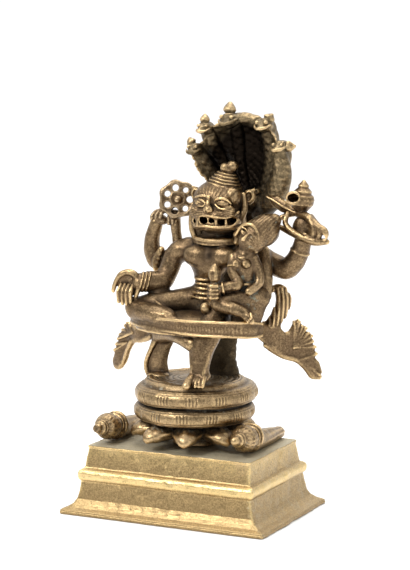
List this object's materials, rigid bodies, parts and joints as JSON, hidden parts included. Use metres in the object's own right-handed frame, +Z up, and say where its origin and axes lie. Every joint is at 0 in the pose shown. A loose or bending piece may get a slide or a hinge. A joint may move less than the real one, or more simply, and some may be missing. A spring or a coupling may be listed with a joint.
{
  "type": "narasimha and lakshmi figure",
  "caption": "Cast brass shrine figure of a lion-headed god with his consort, seated on a coiled serpent whose hood rises behind, on a stepped plinth",
  "frame": {"origin": "middle of the plinth's underside", "axes": "X to the right as the viewer in front of the figure sees it, Y from the front to the back, Z up"},
  "size_m": [0.0933, 0.0572, 0.15],
  "materials": {
    "plinth": "worn golden brass with dark pits and pale grey deposits",
    "figure": "brown patina rubbed to gold on the high places, dark recesses and grey-green deposits"
  },
  "bodies": {
    "root": {"plinth": "plinth", "narasimha_group": "figure"}
  },
  "joints": []
}
